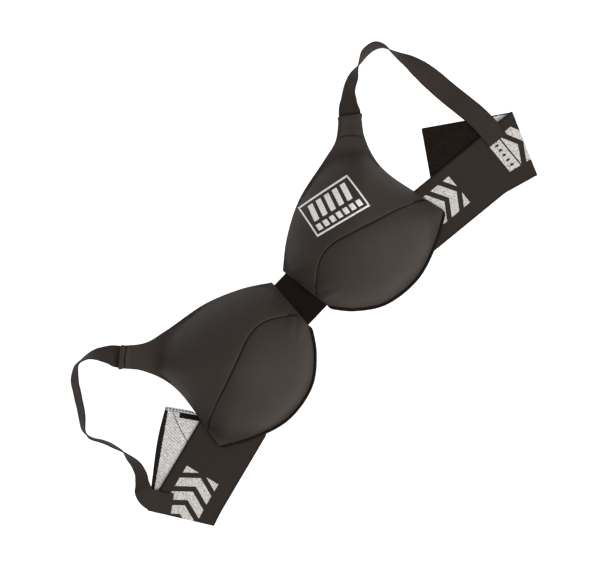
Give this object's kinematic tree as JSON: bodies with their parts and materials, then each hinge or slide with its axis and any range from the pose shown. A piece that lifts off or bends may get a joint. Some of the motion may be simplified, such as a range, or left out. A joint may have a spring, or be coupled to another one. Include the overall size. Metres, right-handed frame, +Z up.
{
  "type": "chest protector",
  "caption": "Padded two-cup chest protector for boxing, with hard cup shells, elastic side bands, hook-and-loop ends and shoulder straps.",
  "frame": {"origin": "middle of the centre panel's back face, which lies on the table", "axes": "+X across the chest towards the cup that holds the hook-side band, +Y towards the shoulder straps, +Z up, out of the chest"},
  "size_m": [0.5636, 0.2294, 0.0653],
  "materials": {
    "cover_cloth": "matte",
    "band_elastic": "matte",
    "dark_elastic": "matte",
    "webbing": "matte",
    "thread": "matte",
    "lining_cloth": "matte",
    "hook_and_loop": "matte",
    "foam": "matte",
    "hard_shell": "satin"
  },
  "bodies": {
    "centre": {"centre_panel": "dark_elastic"},
    "cup_right": {"cup_cover_upper_right": "cover_cloth", "cup_cover_lower_right": "cover_cloth", "foam_pad_right": "foam", "protective_shell_right": "hard_shell", "cup_lining_right": "lining_cloth", "edge_binding_right": "dark_elastic", "strap_front_stitching_right": "thread", "shoulder_strap_right": "webbing"},
    "side_band_right": {"side_band_right": "band_elastic", "strap_rear_stitching_right": "thread"},
    "band_end_right": {"band_end_right": "band_elastic", "hook_patch_right": "hook_and_loop"},
    "cup_left": {"cup_cover_upper_left": "cover_cloth", "cup_cover_lower_left": "cover_cloth", "foam_pad_left": "foam", "protective_shell_left": "hard_shell", "cup_lining_left": "lining_cloth", "edge_binding_left": "dark_elastic", "strap_front_stitching_left": "thread", "shoulder_strap_left": "webbing"},
    "side_band_left": {"side_band_left": "band_elastic", "strap_rear_stitching_left": "thread"},
    "band_end_left": {"band_end_left": "band_elastic", "loop_patch_left": "hook_and_loop"}
  },
  "joints": [
    {"name": "cup_right_hinge", "type": "hinge", "parent": "centre", "child": "cup_right", "pos_m": [0.0113, 0.0015, 0.0008], "axis": [-0.0911, 0.9958, 0], "range_deg": [-35, 30]},
    {"name": "side_band_right_hinge", "type": "hinge", "parent": "cup_right", "child": "side_band_right", "pos_m": [0.15235, -0.04413, 0.0042], "axis": [0.225, 0.9744, 0], "range_deg": [0, 90], "deforming": ["shoulder_strap_right"]},
    {"name": "band_end_right_fold", "type": "hinge", "parent": "side_band_right", "child": "band_end_right", "pos_m": [0.27826, -0.05877, 0.0025], "axis": [-0.4195, -0.9078, 0], "range_deg": [0, 180]},
    {"name": "cup_left_hinge", "type": "hinge", "parent": "centre", "child": "cup_left", "pos_m": [-0.0113, 0.0015, 0.0008], "axis": [-0.0911, -0.9958, 0], "range_deg": [-35, 30]},
    {"name": "side_band_left_hinge", "type": "hinge", "parent": "cup_left", "child": "side_band_left", "pos_m": [-0.15235, -0.04413, 0.0042], "axis": [0.225, -0.9744, 0], "range_deg": [0, 90], "deforming": ["shoulder_strap_left"]},
    {"name": "band_end_left_fold", "type": "hinge", "parent": "side_band_left", "child": "band_end_left", "pos_m": [-0.25202, -0.0688, 0.00325], "axis": [-0.5075, 0.8616, 0], "range_deg": [0, 180]}
  ]
}
